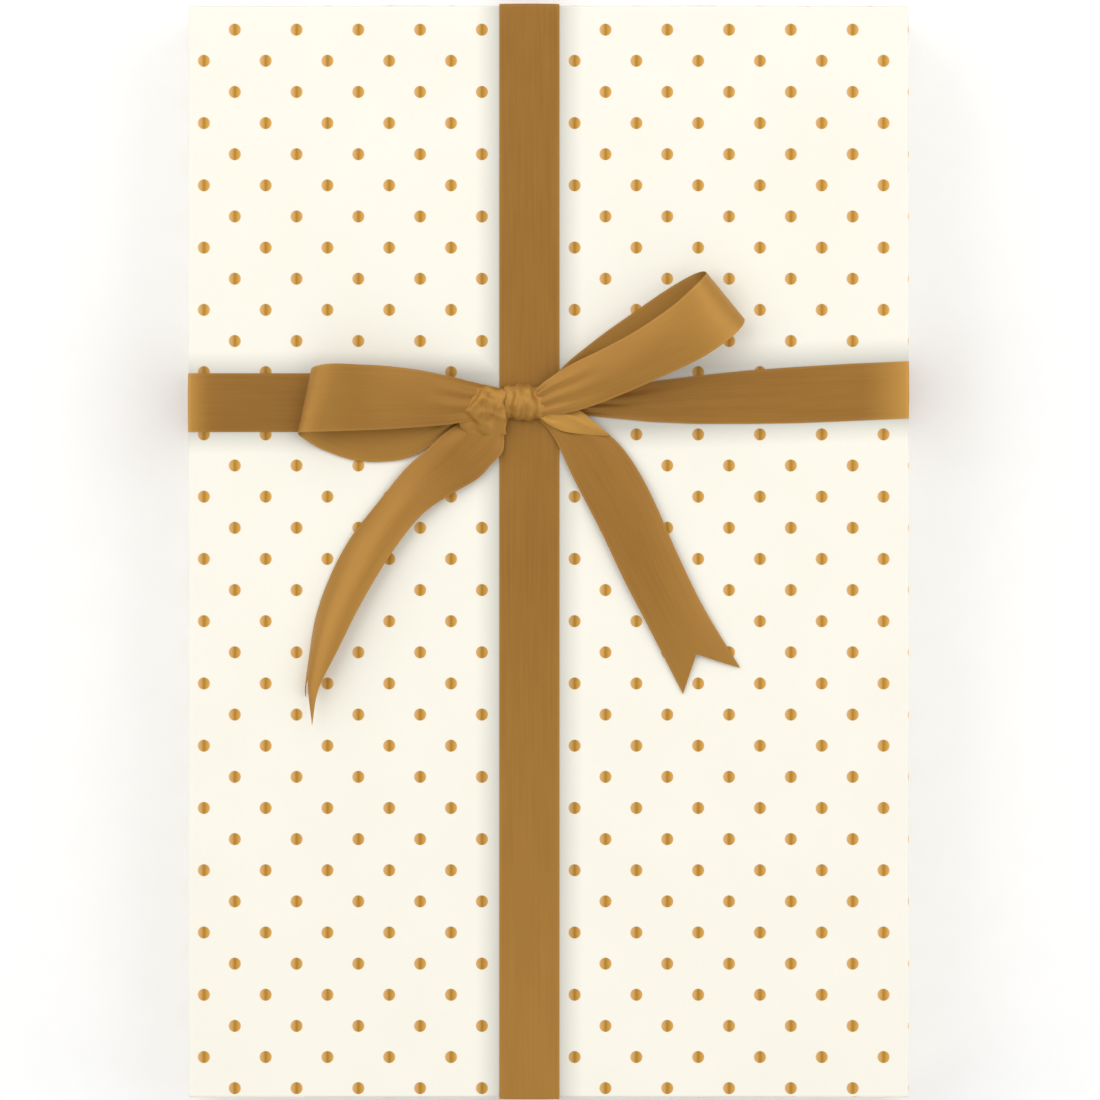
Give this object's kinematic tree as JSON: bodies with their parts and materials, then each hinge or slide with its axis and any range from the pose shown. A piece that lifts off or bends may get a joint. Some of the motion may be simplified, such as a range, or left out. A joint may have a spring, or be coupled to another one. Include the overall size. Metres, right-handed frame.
{
  "type": "wrapped gift box with ribbon bow",
  "caption": "Flat gift box wrapped in cream paper with gold foil dots, tied with a crossed satin ribbon and a two-loop bow.",
  "frame": {"origin": "centre of the footprint, on the surface that the package lies on", "axes": "+X across the package to the right, +Y along it towards the far end, +Z out of the wrapped front that carries the bow"},
  "size_m": [0.3006, 0.4566, 0.0836],
  "materials": {
    "box_card": "matte",
    "wrapping_paper": "satin",
    "clear_tape": "satin",
    "satin_ribbon": "satin"
  },
  "bodies": {
    "package": {"box_base": "box_card", "box_lid": "box_card", "paper_sleeve": "wrapping_paper", "paper_far_end_fold": "wrapping_paper", "paper_near_end_fold": "wrapping_paper", "seam_tapes": "clear_tape", "far_end_tapes": "clear_tape", "near_end_tapes": "clear_tape", "long_ribbon_top": "satin_ribbon", "long_ribbon_bottom": "satin_ribbon", "long_ribbon_far_end": "satin_ribbon", "long_ribbon_near_end": "satin_ribbon", "cross_ribbon_left_top": "satin_ribbon", "cross_ribbon_right_top": "satin_ribbon", "cross_ribbon_left_side": "satin_ribbon", "cross_ribbon_right_side": "satin_ribbon", "cross_ribbon_bottom": "satin_ribbon", "bow_knot": "satin_ribbon"},
    "left_loop": {"bow_left_loop": "satin_ribbon"},
    "right_loop": {"bow_right_loop": "satin_ribbon"},
    "left_tail": {"bow_left_tail": "satin_ribbon"},
    "right_tail": {"bow_right_tail": "satin_ribbon"}
  },
  "joints": [
    {"name": "left_loop_lift", "type": "hinge", "parent": "package", "child": "left_loop", "pos_m": [-0.02, 0.0625, 0.0672], "axis": [0, 1, 0], "range_deg": [0, 50]},
    {"name": "right_loop_lift", "type": "hinge", "parent": "package", "child": "right_loop", "pos_m": [0.00282, 0.064, 0.0672], "axis": [0.5075, -0.8616, 0], "range_deg": [0, 50]},
    {"name": "left_tail_lift", "type": "hinge", "parent": "package", "child": "left_tail", "pos_m": [-0.01375, 0.0541, 0.0676], "axis": [-1, 0, 0], "range_deg": [0, 45]},
    {"name": "right_tail_lift", "type": "hinge", "parent": "package", "child": "right_tail", "pos_m": [-0.00625, 0.0541, 0.0676], "axis": [-1, 0, 0], "range_deg": [0, 45]}
  ]
}
